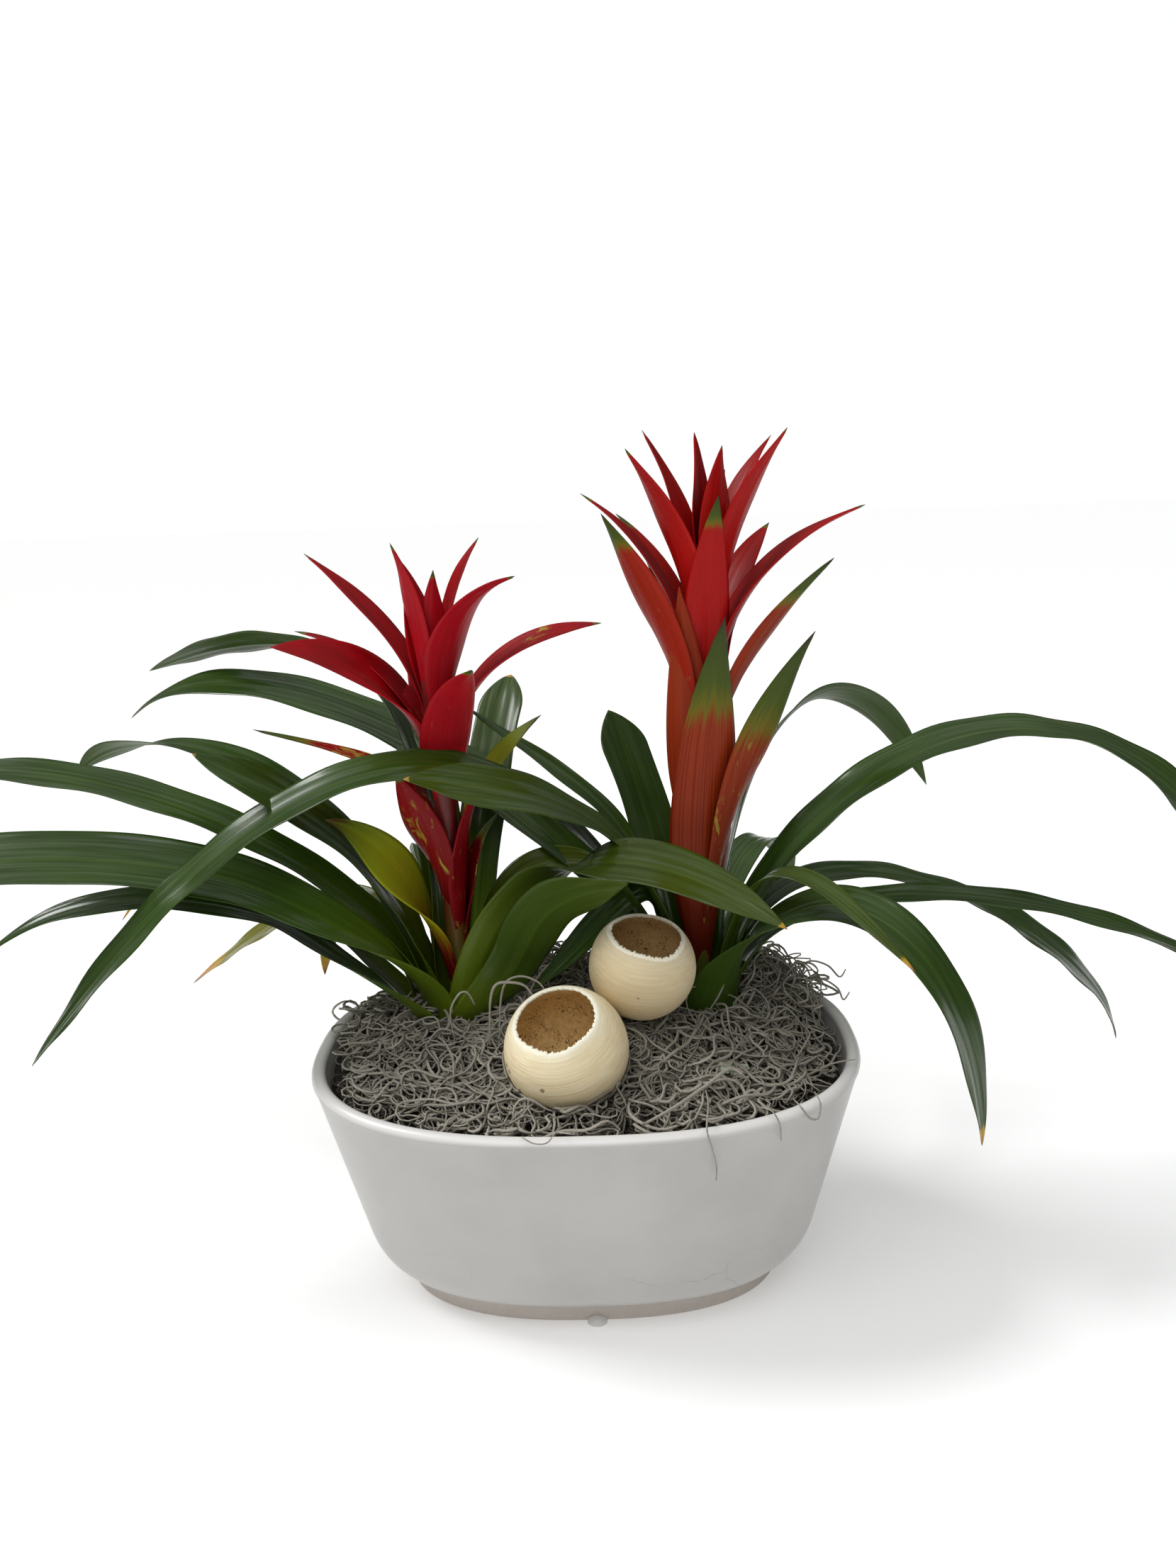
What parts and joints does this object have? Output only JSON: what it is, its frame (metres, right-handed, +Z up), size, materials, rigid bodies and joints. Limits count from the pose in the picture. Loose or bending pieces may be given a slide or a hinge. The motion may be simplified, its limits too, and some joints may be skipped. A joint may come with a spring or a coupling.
{
  "type": "potted bromeliad",
  "caption": "Oval white bowl planted with red-bloomed bromeliads over grey moss, with open dried seed pods beside the stems.",
  "frame": {"origin": "centre of the pot's foot, on the surface it stands on", "axes": "+X along the pot's long axis towards the taller plant, -Y the front of the planting, +Z up"},
  "size_m": [0.6859, 0.2542, 0.384],
  "materials": {
    "pot": "satin white glaze",
    "soil": "matte, crumbly",
    "moss": "matte, curled strands",
    "pod": "dry, matte",
    "leaf": "glossy green",
    "crimson_bract": "satin crimson",
    "scarlet_bract": "satin scarlet"
  },
  "bodies": {
    "root": {"pot": "pot", "soil": "soil", "moss": "moss", "seed_pod_front": "pod", "seed_pod_back": "pod", "left_bloom": "crimson_bract", "right_bloom": "scarlet_bract", "left_leaf_01": "leaf", "left_leaf_02": "leaf", "left_leaf_03": "leaf", "left_leaf_04": "leaf", "left_leaf_05": "leaf", "left_leaf_06": "leaf", "left_leaf_07": "leaf", "left_leaf_08": "leaf", "left_leaf_09": "leaf", "left_leaf_10": "leaf", "left_leaf_11": "leaf", "left_leaf_12": "leaf", "left_leaf_13": "leaf", "left_leaf_14": "leaf", "left_leaf_15": "leaf", "left_leaf_16": "leaf", "right_leaf_01": "leaf", "right_leaf_02": "leaf", "right_leaf_03": "leaf", "right_leaf_04": "leaf", "right_leaf_05": "leaf", "right_leaf_06": "leaf", "right_leaf_07": "leaf", "right_leaf_08": "leaf", "right_leaf_09": "leaf", "right_leaf_10": "leaf", "right_leaf_11": "leaf", "right_leaf_12": "leaf", "right_leaf_13": "leaf"}
  },
  "joints": []
}
